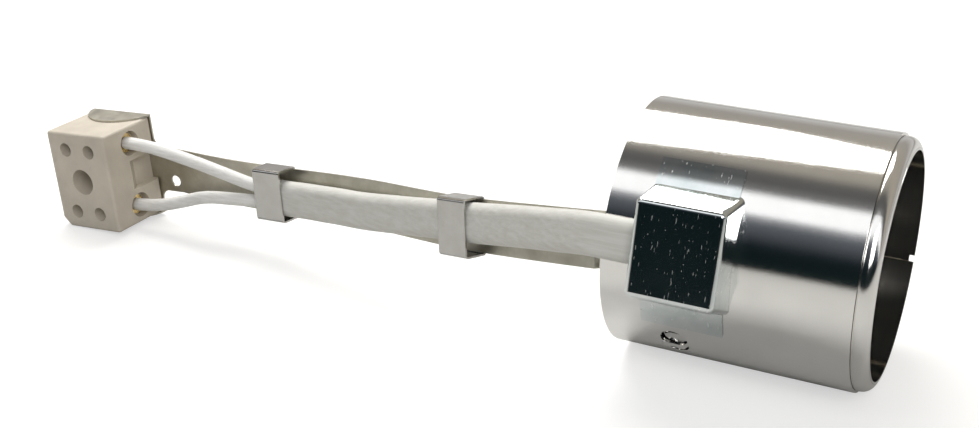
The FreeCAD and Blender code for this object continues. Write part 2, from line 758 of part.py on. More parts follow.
def tongue_wire(x):
    """The strip's curved cross-section under the band."""
    low = number(STRIP_SEAT)
    high = low + number(D.strip_sheet)
    half = math.degrees(number(D.strip_width) / 2 / low)
    clock = number(D.strip_angle)

    def arc(radius, a, b):
        middle = radial((a + b) / 2, radius, x)
        return Part.Arc(radial(a, radius, x), middle, radial(b, radius, x)).toShape()

    return Part.Wire([
        Part.LineSegment(radial(clock - half, low, x), radial(clock - half, high, x)).toShape(),
        arc(high, clock - half, clock + half),
        Part.LineSegment(radial(clock + half, high, x), radial(clock + half, low, x)).toShape(),
        arc(low, clock + half, clock - half)])


def sheet_face(points):
    """A flat face from corners, where a tuple of two points is an arc through the first."""
    edges = []
    start = points[0]
    for item in points[1:] + [points[0]]:
        if isinstance(item, tuple):
            edges.append(Part.Arc(start, item[0], item[1]).toShape())
            start = item[1]
        else:
            edges.append(Part.LineSegment(start, item).toShape())
            start = item
    return Part.Face(Part.Wire(edges))


def build_bracket():
    """The flat end of the strip behind the block, with a rounded tab over its top
    and a narrower one under its bottom. Built at the block's own middle."""
    thick = number(D.strip_sheet)
    left, right = number(D.bracket_left), number(D.bracket_right)
    neck = number(D.bracket_neck)
    low = number(D.neck_drop) - number(D.strip_width) / 2
    high = number(D.neck_drop) + number(D.strip_width) / 2
    edge = number(D.block_height) / 2 + number(D.layer_gap)
    inside = number(D.neck_radius)
    bow = inside * (1 - math.sqrt(0.5))
    lower_left = number(D.lower_tab_left)

    def flat(x, z):
        return Vector(x, PLATE_BACK, z)

    plate = sheet_face([
        flat(neck, low),
        flat(neck, high),
        flat(right + inside, high),
        (flat(right + bow, high + bow), flat(right, high + inside)),
        flat(right, edge + thick),
        flat(left, edge + thick),
        flat(left, -edge + inside),
        flat(lower_left, -edge - thick),
        flat(right, -edge - thick),
        flat(right, low - inside),
        (flat(right + bow, low - bow), flat(right + inside, low)),
    ]).extrude(Vector(0, thick, 0))
    back = PLATE_BACK + thick
    shapes = []
    for start, level in ((left, edge), (lower_left, -edge - thick)):
        reach = min(number(D.tab_reach), (right - start) / 2)
        corner = PLATE_BACK - number(D.block_edge)
        shapes.append(sheet_face([
            Vector(start, back, level),
            Vector(start, corner, level),
            (Vector((start + right) / 2, PLATE_BACK - reach, level),
             Vector(right, corner, level)),
            Vector(right, back, level),
        ]).extrude(Vector(0, 0, thick)))
    plate = plate.multiFuse(shapes)
    holes = [
        (0.0, 0.0, number(D.mount_screw) / 2 + number(D.mount_fit)),
        (number(D.hole_place), number(D.neck_drop - D.strip_width / 4),
         number(D.strip_hole / 2)),
    ]
    for x, z, radius in holes:
        plate = plate.cut(Part.makeCylinder(
            radius, 4 * thick, Vector(x, PLATE_BACK - thick, z), Vector(0, 1, 0)))
    return plate


def build_strip():
    """The support strip: a tongue under the band, a bent and twisted run, a bracket."""
    rim = number(BAND_TAIL)
    thick = number(D.strip_sheet)
    begin = rim - thick
    flat_x = begin - 3 * thick
    positions = stations_along(flat_x, NECK.x)
    frames = [ARM.frame(x) for x in positions[:-1]] + [NECK_FRAME]
    run = Part.makeLoft([strip_wire(f) for f in frames], True, False)
    bend = Part.makeLoft([tongue_wire(begin), strip_wire(frames[0])], True, True)
    tongue = Part.Face(tongue_wire(begin)).extrude(
        Vector(number(D.tongue_length) + thick, 0, 0))
    bracket = build_bracket()
    bracket.Placement = BLOCK
    whole = run.multiFuse([bend, tongue, bracket])
    return code_piece("support_strip", whole)


# ---------------------------------------------------------------- leads and sleeve
BRAID_BACK = D.strip_sheet / 2 + D.layer_gap * 4


def sleeve_lift(x):
    """How far the flat sleeve's middle lies above the strip's middle."""
    places = [(number(getattr(D, item[0] + "_x")), number(getattr(D, item[0] + "_lift")))
              for item in STATIONS]
    for (right, first), (left, second) in zip(places, places[1:]):
        if x >= left:
            return first + (second - first) * max(0.0, (right - x) / (right - left))
    return places[-1][1]


def lead_frames(positions):
    """Cross-sections of the flat sleeve's middle: along the band, then before the strip."""
    rim = number(BAND_TAIL)
    bend = 2 * number(D.braid_depth)
    last = number(D.block_clip_x) - number(D.clip_width)
    clock = number(D.cover_angle)
    middle = number(BRAID_BACK + D.braid_depth / 2)
    points = [radial(clock, number(LEAD_RISE), x)
              for x in spread(SLEEVE_END, rim - number(D.strip_sheet) * 2, 6)]
    for x in stations_along(rim - bend, last):
        points.append(ARM.frame(x).at(middle, sleeve_lift(x)))
    route = Route(points, clock)
    return [route.frame(x) for x in positions]


def stadium(frame, height, depth):
    """A flat-sided oval cross-section."""
    radius = depth / 2
    straight = height / 2 - radius
    a, b = frame.at(radius, straight), frame.at(-radius, straight)
    c, d = frame.at(-radius, -straight), frame.at(radius, -straight)
    top, low = frame.at(0, height / 2), frame.at(0, -height / 2)
    return Part.Wire([
        Part.Arc(a, top, b).toShape(), Part.LineSegment(b, c).toShape(),
        Part.Arc(c, low, d).toShape(), Part.LineSegment(d, a).toShape()])


def build_braid():
    """The flat glass-fibre sleeve from inside the cover to the clip beside the block."""
    begin = number(D.cover_left + D.braid_inside)
    bend = number(BAND_TAIL) - number(D.strip_sheet)
    end = number(D.block_clip_x) - number(D.clip_width) / 2 + number(D.braid_out)
    height, depth, wall = number(D.braid_height), number(D.braid_depth), number(D.braid_wall)
    straight = lead_frames([begin, bend])
    curved = [straight[1]] + lead_frames(stations_along(bend, end)[1:])

    def run(high, deep):
        level = Part.makeLoft([stadium(f, high, deep) for f in straight], True, True)
        return level.fuse(Part.makeLoft([stadium(f, high, deep) for f in curved], True, False))

    return code_piece("braided_sleeve",
                      run(height, depth).cut(run(height - 2 * wall, depth - 2 * wall)))


ARC_SHARE = 0.45
VOLUME_ERROR = 0.01


def rounded_path(points):
    """Straight runs joined by the largest tangent arcs that the runs allow."""
    edges = []
    start = points[0]
    for i in range(1, len(points) - 1):
        back = points[i - 1] - points[i]
        ahead = points[i + 1] - points[i]
        reach = ARC_SHARE * min(back.Length, ahead.Length)
        tangent_in = points[i] + Vector(back).normalize() * reach
        tangent_out = points[i] + Vector(ahead).normalize() * reach
        half = back.getAngle(ahead) / 2
        radius = reach * math.tan(half)
        inward = (Vector(back).normalize() + Vector(ahead).normalize()).normalize()
        peak = points[i] + inward * (radius / math.sin(half) - radius)
        edges.append(Part.LineSegment(start, tangent_in).toShape())
        edges.append(Part.Arc(tangent_in, peak, tangent_out).toShape())
        start = tangent_out
    edges.append(Part.LineSegment(start, points[-1]).toShape())
    return Part.Wire(edges)


def pipe(points, radius):
    path = rounded_path(points)
    direction = points[1] - points[0]
    profile = Part.Wire([Part.Circle(points[0], direction, radius).toShape()])
    tube = path.makePipe(Part.Face(profile))
    wanted = math.pi * radius ** 2 * path.Length
    if abs(tube.Volume / wanted - 1) > VOLUME_ERROR:
        raise ValueError("a lead has the wrong volume")
    return tube


# Past the clip the leads spread: lead diameters from the block, share of the poles' height.
LEAD_SPREAD = ((6.5, 0.52), (4.0, 0.78), (2.0, 0.95))


def lead_points(side, start_x, end_x):
    """Where a lead runs: through the sleeve, then across the open to its wire bore."""
    clip = number(D.block_clip_x)
    rim = number(BAND_TAIL)
    step = number(D.lead_dia)
    inside = [start_x] + spread(rim + step, rim - 6 * step, 8)
    along = spread(rim - 8 * step, clip - number(D.clip_width) / 2 - step / 2, 11)
    points = [f.at(0.0, lead_side(side)) for f in lead_frames(inside + along)]
    y = number(WIRE_Y)
    z = side * number(POLE)
    edge = number(D.block_width) / 2
    for distance, share in LEAD_SPREAD:
        points.append(block_point(edge + distance * step, y + (1 - share) * step, z * share))
    points.append(block_point(edge, y, z))
    points.append(block_point(end_x, y, z))
    return points


def build_leads():
    sleeve = number(D.lead_dia) / 2
    bore = sleeve - number(D.lead_wall)
    tube_end = number(D.tube_length) / 2
    for name, side in (("upper", 1), ("lower", -1)):
        points = lead_points(side, SLEEVE_END, tube_end + number(D.mount_fit))
        skin = pipe(points, sleeve).cut(pipe(points, bore))
        code_piece(name + "_lead_sleeve", skin)
        inner = [points[0] + Vector(WIRE_END - SLEEVE_END, 0, 0)] + points[:-1]
        inner.append(block_point(number(D.wire_dia), number(WIRE_Y), side * number(POLE)))
        code_piece(name + "_conductor", pipe(inner, number(D.wire_dia) / 2))


# ---------------------------------------------------------------- clips
def build_clip(label, x):
    """A sheet wrapped round the strip and the flat sleeve."""
    body = new_body(label)
    gap, wall = D.clip_gap, D.clip_sheet
    front = -(BRAID_BACK + D.braid_depth)
    back = D.strip_sheet / 2
    half = D.strip_width / 2
    outline = new_sketch(body, label + "_outline", "YZ_Plane")
    draw_rectangle(outline, front - gap - wall, back + gap + wall,
                   -(half + gap + wall), half + gap + wall)
    block = pad(body, label + "_pad", outline, D.clip_width, both=True)

    def long_edge(edge):
        a, b = (v.Point for v in edge.Vertexes)
        return abs(a.x - b.x) > number(D.clip_width) / 2

    dress(body, "Fillet", label + "_corners", block, long_edge, wall * 2, "Radius")
    inner = new_sketch(body, label + "_inner", "YZ_Plane")
    draw_rectangle(inner, front - gap, back + gap, -(half + gap), half + gap)
    pocket(body, label + "_hollow", inner, D.clip_width * 2, both=True)
    body.Placement = ARM.frame(x).placement()
    return body


# ---------------------------------------------------------------- the terminal block
SCREW = D.screw_pitch / 2


def build_block():
    """A ceramic block with two wire bores, four screw holes and a counterbored centre."""
    body = new_body("terminal_block")
    half_wide, half_high = D.block_width / 2, D.block_height / 2
    face = new_sketch(body, "block_outline", "XZ_Plane")
    corner = D.block_corner
    draw_outline(face, [
        (corner - half_wide, -half_high), (half_wide, -half_high), (half_wide, half_high),
        (-half_wide, half_high), (-half_wide, corner - half_high)])
    block = pad(body, "block_pad", face, D.block_depth, both=True)
    dress(body, "Fillet", "block_edges", block, lambda edge: True, D.block_edge, "Radius")
    front = number(D.block_depth) / 2
    access = new_sketch(body, "access_holes", "XZ_Plane", 0.0, front)
    for x in (-SCREW, SCREW):
        for z in (-POLE, POLE):
            draw_circle(access, x, z, D.access_dia / 2)
    pocket(body, "access_cut", access, D.wire_depth)
    centre = new_sketch(body, "centre_bore", "XZ_Plane", 0.0, front)
    draw_circle(centre, 0.0, 0.0, D.centre_hole / 2)
    pocket(body, "centre_cut", centre, D.centre_depth)
    through = new_sketch(body, "through_hole", "XZ_Plane", 0.0, front)
    draw_circle(through, 0.0, 0.0, D.mount_screw / 2 + D.mount_fit)
    pocket(body, "through_cut", through, D.block_depth * 1.5)
    bores = new_sketch(body, "wire_bores", "YZ_Plane")
    for z in (-POLE, POLE):
        draw_circle(bores, WIRE_Y, z, D.tube_dia / 2 + D.layer_gap)
    pocket(body, "wire_cut", bores, D.block_width * 2, both=True)
    for name, lift, reverse in (("right", 1, False), ("left", -1, True)):
        bell = new_sketch(body, name + "_bells", "YZ_Plane")
        bell.AttachmentOffset = Placement(
            Vector(0, 0, lift * number(half_wide)), Rotation())
        for z in (-POLE, POLE):
            draw_circle(bell, WIRE_Y, z, D.bell_dia / 2)
        pocket(body, name + "_bell_cut", bell, D.bell_depth, reverse=reverse)
    start = D.waist_start - D.block_depth / 2
    ramp = D.waist_depth * 1.5
    back = D.block_depth / 2 + D.block_edge
    for name, side in (("right", 1), ("left", -1)):
        waist = new_sketch(body, name + "_waist", "XY_Plane")
        outside = (half_wide + D.block_edge) * side
        wall = half_wide * side
        deep = (half_wide - D.waist_depth) * side
        draw_outline(waist, [(outside, start), (wall, start), (deep, start + ramp),
                             (deep, back), (outside, back)])
        pocket(body, name + "_waist_cut", waist, D.waist_height, both=True)
    body.Placement = BLOCK
    return body


def build_brass_tube(label, side):
    """A brass tube with a bore for each wire and two tapped holes."""
    body = new_body(label)
    z = POLE * side
    outline = new_sketch(body, label + "_outline", "YZ_Plane")
    draw_circle(outline, WIRE_Y, z, D.tube_dia / 2)
    pad(body, label + "_pad", outline, D.tube_length, both=True)
    for name, size, reverse in (("supply", D.supply_bore, False),
                                ("heater", D.heater_bore, True)):
        bore = new_sketch(body, label + "_" + name, "YZ_Plane")
        draw_circle(bore, WIRE_Y, z, size / 2)
        pocket(body, label + "_" + name + "_cut", bore, D.tube_length, reverse=reverse)
    tapped = new_sketch(body, label + "_tapped", "XZ_Plane", 0.0, -number(WIRE_Y))
    for x in (-SCREW, SCREW):
        draw_circle(tapped, x, z, D.terminal_screw / 2 + D.screw_fit)
    pocket(body, label + "_tapped_cut", tapped, D.tube_dia, reverse=True)
    body.Placement = BLOCK
    return body


# Slots: half length of a cross slot and half width as shares of the head, depth as a share
# of the head's height, and how far the screws happen to be turned.
CROSS_REACH = 0.32
SLOT_HALF = 1 / 12
SLOT_DEPTH = 0.55
SLOT_TURN = 32.0


def build_screw(label, shank, head, shank_length, head_height, place, slots):
    """A slotted or cross-slotted screw. Its tip is at the origin, its axis along X."""
    body = new_body(label)
    section = new_sketch(body, label + "_section", "XZ_Plane")
    end = shank_length + head_height
    edge = head_height / 3
    draw_outline(section, [
        (0.0, 0.0), (end, 0.0), (end, head / 2 - edge), (end - edge, head / 2),
        (shank_length, head / 2), (shank_length, shank / 2),
        (shank / 8, shank / 2), (0.0, shank * 0.375)])
    revolve(body, label + "_turned", section)
    for i in range(slots):
        slot = new_sketch(body, "%s_slot_%d" % (label, i), "YZ_Plane")
        slot.AttachmentOffset = Placement(Vector(0, 0, number(end)),
                                          Rotation(Vector(0, 0, 1), 90.0 * i + SLOT_TURN))
        reach = head if slots == 1 else head * CROSS_REACH
        draw_rectangle(slot, -reach, reach, -(head * SLOT_HALF), head * SLOT_HALF)
        pocket(body, "%s_slot_%d_cut" % (label, i), slot, head_height * SLOT_DEPTH)
    body.Placement = place
    return body


def build_block_screws():
    """The terminal screws: those of the heater leads are tight, those for the supply
    stand back so that their wire bores are free."""
    tight = WIRE_Y - D.wire_dia / 2 - D.layer_gap * 3
    free = WIRE_Y - D.supply_bore / 2 - D.layer_gap * 2
    forward = Rotation(Vector(0, 0, 1), -90)
    for row, z in (("upper", POLE), ("lower", -POLE)):
        for column, x, tip in (("supply", -SCREW, free), ("heater", SCREW, tight)):
            place = BLOCK * Placement(Vector(number(x), number(tip), number(z)), forward)
            build_screw(row + "_" + column + "_screw", D.terminal_screw, D.terminal_head,
                        D.terminal_length, D.terminal_head / 3, place, 1)
    nut_height = D.mount_nut
    seat = D.centre_depth - D.block_depth / 2
    tip = D.block_depth / 2 + D.strip_sheet + nut_height + D.mount_screw / 4
    place = BLOCK * Placement(Vector(0, number(tip), 0), forward)
    build_screw("mounting_screw", D.mount_screw, D.mount_head, tip - seat,
                D.mount_rise, place, 2)
    build_nut("mounting_nut", D.mount_screw, D.mount_hex, nut_height,
              BLOCK * Placement(Vector(0, PLATE_BACK + number(D.strip_sheet + D.layer_gap), 0),
                                Rotation(Vector(0, 0, 1), 90)))


def draw_hexagon(sketch, across):
    radius = number(across) / math.sqrt(3)
    corners = [Vector(radius * math.cos(math.radians(60 * i)),
                      radius * math.sin(math.radians(60 * i)), 0) for i in range(6)]
    return draw_outline(sketch, [(c.x, c.y) for c in corners])


def build_nut(label, thread, across, height, place):
    """A hexagon nut that starts at the origin and stands along X."""
    body = new_body(label)
    outline = new_sketch(body, label + "_outline", "YZ_Plane")
    draw_hexagon(outline, across)
    pad(body, label + "_pad", outline, height)
    hole = new_sketch(body, label + "_hole", "YZ_Plane")
    draw_circle(hole, 0.0, 0.0, thread / 2 + D.screw_fit)
    pocket(body, label + "_hole_cut", hole, height * 3, both=True)
    body.Placement = place
    return body


# ---------------------------------------------------------------- the clamp
EAR_MIDDLE = BAND_TAIL + D.band_length / 2


def clamp_place(lift):
    """Local X points from the lower ear to the upper one, along the clamping screw."""
    clock = number(D.split_angle)
    out = radial(clock, 1.0)
    axis = radial(clock - 90.0, 1.0)
    width = axis.cross(out)
    middle = out * number(BAND_OUTSIDE + D.clamp_rise) + axis * lift
    middle.x = number(EAR_MIDDLE)
    return Placement(FreeCAD.Matrix(
        axis.x, out.x, width.x, middle.x,
        axis.y, out.y, width.y, middle.y,
        axis.z, out.z, width.z, middle.z,
        0, 0, 0, 1))


def build_ear(label, side):
    """A bent ear welded to the band beside the split: a curved foot and a flange."""
    body = new_body(label)
    clock = number(D.split_angle)
    seat = BAND_OUTSIDE + D.layer_gap
    gap = number(D.ear_space) / 2
    inside = math.degrees(math.asin(gap / number(seat)))
    span = math.degrees(number(D.ear_foot) / number(seat))
    start = clock - inside if side > 0 else clock + inside + span
    left = EAR_MIDDLE - D.ear_width / 2
    right = EAR_MIDDLE + D.ear_width / 2
    foot = new_sketch(body, label + "_foot", "XZ_Plane", 90.0 - start)
    draw_rectangle(foot, left, right, seat, seat + D.ear_sheet)
    revolve(body, label + "_foot_turn", foot, span)
    flange = new_sketch(body, label + "_flange", "XZ_Plane", 90.0 - clock, side * gap)
    draw_rectangle(flange, left, right, seat, BAND_OUTSIDE + D.ear_height)
    pad(body, label + "_flange_pad", flange, D.ear_sheet, reverse=side < 0)
    hole = new_sketch(body, label + "_hole", "XZ_Plane", 90.0 - clock)
    draw_circle(hole, EAR_MIDDLE, BAND_OUTSIDE + D.clamp_rise,
                D.clamp_screw / 2 + D.clamp_fit)
    pocket(body, label + "_hole_cut", hole, (D.ear_space + D.ear_sheet) * 2, both=True)
    return body


def build_hex_screw(label, thread, length, across, head, place):
    """A hexagon-headed screw. Its tip is at the origin and its axis runs along X."""
    body = new_body(label)
    shank = new_sketch(body, label + "_shank", "YZ_Plane")
    draw_circle(shank, 0.0, 0.0, thread / 2)
    pad(body, label + "_shank_pad", shank, length)
    top = new_sketch(body, label + "_head", "YZ_Plane")
    top.AttachmentOffset = Placement(Vector(0, 0, number(length)), Rotation())
    draw_hexagon(top, across)
    pad(body, label + "_head_pad", top, head)
    body.Placement = place
    return body


def build_clamp():
    build_ear("upper_clamp_ear", 1)
    build_ear("lower_clamp_ear", -1)
    grip = number(D.ear_space / 2 + D.ear_sheet + D.layer_gap)
    build_hex_screw("clamp_screw", D.clamp_screw, D.clamp_reach, D.hex_across, D.hex_head,
                    clamp_place(grip - number(D.clamp_reach)))
    build_nut("clamp_nut", D.clamp_screw, D.hex_across, D.hex_nut,
              clamp_place(-grip - number(D.hex_nut)))


# ---------------------------------------------------------------- the whole heater
def build():
    build_layers()
    build_band()
    build_clamp()
    build_cover()
    build_insulating_pad()
    for name, side in (("upper", 1), ("lower", -1)):
        build_tab(name + "_ribbon_tab", side)
        build_crimp(name + "_crimp", side)
    build_strip()
    build_braid()
    build_leads()
    build_clip("block_clip", number(D.block_clip_x))
    build_clip("middle_clip", number(D.middle_clip_x))
    build_block()
    build_brass_tube("upper_brass_tube", 1)
    build_brass_tube("lower_brass_tube", -1)
    build_block_screws()


def check_and_write():
    """Stops if anything failed, then writes each piece to its own file."""
    document.recompute()
    failed = [thing.Label for thing in document.Objects
              if {"Invalid", "Error"} & set(thing.State)]
    for piece in PIECES:
        shape = piece.Shape
        if shape.isNull() or not shape.isValid() or not shape.Solids:
            failed.append(piece.Label)
    if failed:
        raise ValueError("failed: " + ", ".join(sorted(set(failed))))
    os.makedirs("parts", exist_ok=True)
    for piece in PIECES:
        piece.Shape.exportStep("parts/" + piece.Label + ".step")


build()
check_and_write()
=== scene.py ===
"""Looks of the nozzle band heater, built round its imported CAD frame. Metres throughout."""

import math

import bpy
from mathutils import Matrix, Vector


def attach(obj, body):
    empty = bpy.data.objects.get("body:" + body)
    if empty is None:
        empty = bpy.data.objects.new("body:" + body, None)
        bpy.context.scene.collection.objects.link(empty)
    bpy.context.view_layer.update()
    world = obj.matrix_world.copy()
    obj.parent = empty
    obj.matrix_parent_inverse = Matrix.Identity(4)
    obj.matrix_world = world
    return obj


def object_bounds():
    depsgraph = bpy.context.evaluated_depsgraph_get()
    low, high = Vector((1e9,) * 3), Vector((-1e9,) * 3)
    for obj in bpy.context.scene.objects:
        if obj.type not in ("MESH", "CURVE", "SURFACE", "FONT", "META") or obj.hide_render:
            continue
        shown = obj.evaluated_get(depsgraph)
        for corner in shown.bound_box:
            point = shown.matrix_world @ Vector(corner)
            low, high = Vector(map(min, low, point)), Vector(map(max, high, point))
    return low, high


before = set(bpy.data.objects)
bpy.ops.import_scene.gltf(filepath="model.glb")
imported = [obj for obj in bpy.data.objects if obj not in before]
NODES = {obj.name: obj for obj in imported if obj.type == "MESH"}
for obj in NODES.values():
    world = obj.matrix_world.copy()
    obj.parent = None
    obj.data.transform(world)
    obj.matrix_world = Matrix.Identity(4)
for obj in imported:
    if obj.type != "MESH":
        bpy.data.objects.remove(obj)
cad_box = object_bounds()

MM = 0.001
BODY = "heater"


# ---------------------------------------------------------------- node helpers
class Nodes:
    """A material under construction, with short names for the nodes that it uses."""

    def __init__(self, name):
        self.material = bpy.data.materials.new(name)
        self.material.use_nodes = True
        self.tree = self.material.node_tree
        self.shader = self.tree.nodes["Principled BSDF"]
        self.output = self.tree.nodes["Material Output"]
        self.place = self.add("ShaderNodeTexCoord").outputs["Object"]

    def add(self, kind, **values):
        node = self.tree.nodes.new(kind)
        for key, value in values.items():
            setattr(node, key, value)
        return node

    def link(self, source, target):
        self.tree.links.new(source, target)

    def set(self, **values):
        for key, value in values.items():
            self.shader.inputs[key.replace("_", " ")].default_value = value

    def stretched(self, scale, turn=(0, 0, 0)):
        """The object's coordinates, turned and scaled differently along each axis."""
        mapping = self.add("ShaderNodeMapping")
        mapping.inputs["Scale"].default_value = scale
        mapping.inputs["Rotation"].default_value = turn
        self.link(self.place, mapping.inputs["Vector"])
        return mapping.outputs["Vector"]

    def noise(self, scale, detail=4.0, rough=0.5, vector=None):
        node = self.add("ShaderNodeTexNoise")
        node.inputs["Scale"].default_value = scale
        node.inputs["Detail"].default_value = detail
        node.inputs["Roughness"].default_value = rough
        self.link(vector or self.place, node.inputs["Vector"])
        return node.outputs["Fac"]

    def ramp(self, value, stops):
        """Colours or grey levels at positions along a value."""
        node = self.add("ShaderNodeValToRGB")
        elements = node.color_ramp.elements
        while len(elements) < len(stops):
            elements.new(0.5)
        for element, (position, colour) in zip(elements, stops):
            element.position = position
            if not isinstance(colour, tuple):
                colour = (colour, colour, colour)
            element.color = colour + (1.0,)
        self.link(value, node.inputs["Fac"])
        return node.outputs["Color"]

    def mix(self, share, first, second, blend="MIX"):
        """Mixes two colours, each a socket or a tuple."""
        node = self.add("ShaderNodeMix", data_type="RGBA", blend_type=blend)
        for index, item in ((0, share), (6, first), (7, second)):
            if isinstance(item, (tuple, float, int)):
                value = item + (1.0,) if isinstance(item, tuple) else item
                node.inputs[index].default_value = value
            else:
                self.link(item, node.inputs[index])
        return node.outputs[2]

    def maths(self, operation, first, second=0.0, clamp=False):
        node = self.add("ShaderNodeMath", operation=operation, use_clamp=clamp)
        for index, item in enumerate((first, second)):
            if isinstance(item, (float, int)):
                node.inputs[index].default_value = item
            else:
                self.link(item, node.inputs[index])
        return node.outputs[0]

    def bump(self, height, distance, strength=1.0, after=None):
        node = self.add("ShaderNodeBump")
        node.inputs["Distance"].default_value = distance
        node.inputs["Strength"].default_value = strength
        self.link(height, node.inputs["Height"])
        if after:
            self.link(after, node.inputs["Normal"])
        return node.outputs["Normal"]

    def finish(self, colour=None, roughness=None, normal=None):
        for socket, name in ((colour, "Base Color"), (roughness, "Roughness"),
                             (normal, "Normal")):
            if socket:
                self.link(socket, self.shader.inputs[name])
        return self.material


# ---------------------------------------------------------------- materials
def polished_steel(name, light, dark, rough, scratches):
    """Stainless sheet with a soft polish, hairline scratches and faint blotches."""
    n = Nodes(name)
    n.set(Metallic=1.0)
    blotch = n.noise(60, 5, 0.6)
    colour = n.mix(n.ramp(blotch, [(0.35, 0.0), (0.7, 1.0)]), light, dark)
    hair = n.noise(900, 3, 0.7, n.stretched((1, 14, 14)))
    fine = n.noise(700, 2, 0.5, n.stretched((10, 1, 1), (0.5, 0.3, 0.2)))
    lines = n.ramp(hair, [(0.62, 0.0), (0.66, 1.0)])
    marks = n.ramp(fine, [(0.66, 0.0), (0.69, 1.0)])
    scuff = n.maths("MULTIPLY", n.maths("ADD", lines, marks), scratches, clamp=True)
    wide = n.ramp(n.noise(35, 4, 0.6), [(0.3, rough * 0.75), (0.75, rough * 1.5)])
    roughness = n.maths("ADD", wide, scuff)
    wave = n.bump(n.noise(25, 2, 0.4), 0.0006, 0.35)
    normal = n.bump(hair, 0.00002, 0.25, wave)
    return n.finish(colour, roughness, normal)


def cover_steel():
    """The pressed cover: bright sheet with many short bright scratches on its face."""
    n = Nodes("cover_steel")
    n.set(Metallic=1.0)
    blotch = n.noise(90, 5, 0.6)
    colour = n.mix(n.ramp(blotch, [(0.4, 0.0), (0.65, 1.0)]),
                   (0.80, 0.83, 0.83), (0.66, 0.72, 0.72))
    marks = None
    for turn, level in ((0.2, 0.715), (1.3, 0.72), (2.4, 0.725)):
        streak = n.noise(420, 2, 0.4, n.stretched((6, 1, 1), (turn, 0.3, turn)))
        line = n.ramp(streak, [(level, 0.0), (level + 0.02, 1.0)])
        marks = n.maths("MAXIMUM", marks, line) if marks else line
    speck = n.ramp(n.noise(1500, 2, 0.5), [(0.74, 0.0), (0.77, 1.0)])
    marks = n.maths("MAXIMUM", marks, speck)
    colour = n.mix(n.maths("MULTIPLY", marks, 0.75), colour, (0.9, 0.9, 0.88))
    roughness = n.maths("ADD", n.maths("MULTIPLY", marks, 0.25), 0.07)
    normal = n.bump(n.noise(60, 2, 0.4), 0.0003, 0.3)
    return n.finish(colour, roughness, normal)


def plated_steel(name, light, dark, rough):
    """Galvanised or tinned sheet, dull and slightly yellowed."""
    n = Nodes(name)
    n.set(Metallic=1.0)
    cloud = n.noise(140, 6, 0.65)
    colour = n.mix(n.ramp(cloud, [(0.35, 0.0), (0.68, 1.0)]), light, dark)
    grain = n.noise(1400, 2, 0.5, n.stretched((0.15, 1, 1)))
    roughness = n.maths("ADD", n.ramp(n.noise(260, 4, 0.6),
                                      [(0.3, rough * 0.8), (0.7, rough * 1.25)]),
                        n.maths("MULTIPLY", grain, 0.08))
    normal = n.bump(grain, 0.00003, 0.4, n.bump(n.noise(45, 2, 0.4), 0.0006, 0.3))
    return n.finish(colour, roughness, normal)


def ceramic():
    """Unglazed steatite: warm off-white with fine pits and handling marks."""
    n = Nodes("steatite")
    n.set(Specular_IOR_Level=0.45)
    warm = n.mix(n.ramp(n.noise(110, 5, 0.6), [(0.35, 0.0), (0.7, 1.0)]),
                 (0.60, 0.54, 0.45), (0.52, 0.465, 0.385))
    pits = n.ramp(n.noise(1600, 2, 0.5), [(0.68, 0.0), (0.74, 1.0)])
    colour = n.mix(n.maths("MULTIPLY", pits, 0.35), warm, (0.36, 0.31, 0.25))
    roughness = n.ramp(n.noise(500, 3, 0.6), [(0.3, 0.42), (0.7, 0.6)])
    normal = n.bump(n.noise(1300, 3, 0.6), 0.00006, 0.6)
    return n.finish(colour, roughness, normal)


def glass_yarn(name, light, dark, scale):
    """Fine white glass-fibre yarn with a slight sheen."""
    n = Nodes(name)
    n.set(Roughness=0.62, Sheen_Weight=0.25, Sheen_Roughness=0.4)
    weave = n.noise(scale, 3, 0.6, n.stretched((0.06, 1, 1)))
    colour = n.mix(n.ramp(weave, [(0.3, 0.0), (0.7, 1.0)]), dark, light)
    normal = n.bump(weave, 0.00012, 0.7)
    return n.finish(colour, None, normal)


def mica():
    n = Nodes("mica_sheet")
    n.set(Specular_IOR_Level=0.5)
    flakes = n.noise(300, 5, 0.7, n.stretched((1, 0.4, 1)))
    colour = n.ramp(flakes, [(0.3, (0.42, 0.34, 0.22)), (0.55, (0.62, 0.53, 0.37)),
                             (0.75, (0.74, 0.67, 0.52))])
    roughness = n.ramp(flakes, [(0.3, 0.3), (0.7, 0.55)])
    return n.finish(colour, roughness, n.bump(flakes, 0.00005, 0.5))


def brass():
    n = Nodes("turned_brass")
    n.set(Metallic=1.0)
    turned = n.noise(900, 2, 0.5, n.stretched((6, 1, 1)))
    colour = n.mix(n.ramp(n.noise(200, 4, 0.6), [(0.35, 0.0), (0.7, 1.0)]),
                   (0.80, 0.62, 0.30), (0.58, 0.42, 0.19))
    roughness = n.ramp(turned, [(0.3, 0.2), (0.7, 0.38)])
    return n.finish(colour, roughness, n.bump(turned, 0.00003, 0.4))


BAND_STEEL = polished_steel("band_steel", (0.90, 0.89, 0.87), (0.83, 0.82, 0.80), 0.07, 0.05)
RIM_STEEL = polished_steel("rim_steel", (0.88, 0.87, 0.85), (0.80, 0.79, 0.77), 0.08, 0.05)
COVER_STEEL = cover_steel()
STRIP_STEEL = plated_steel("strip_steel", (0.56, 0.54, 0.47), (0.43, 0.41, 0.34), 0.34)
CLIP_STEEL = plated_steel("clip_steel", (0.60, 0.59, 0.57), (0.52, 0.51, 0.49), 0.18)
SCREW_STEEL = plated_steel("screw_steel", (0.70, 0.69, 0.66), (0.52, 0.50, 0.46), 0.25)
RIBBON = plated_steel("ribbon_metal", (0.42, 0.40, 0.38), (0.30, 0.28, 0.25), 0.35)
CERAMIC = ceramic()
LEAD = glass_yarn("lead_yarn", (0.86, 0.85, 0.82), (0.70, 0.685, 0.65), 1500)
BRAID = glass_yarn("sleeve_yarn", (0.66, 0.65, 0.61), (0.56, 0.55, 0.50), 1100)
MICA = mica()
BRASS = brass()
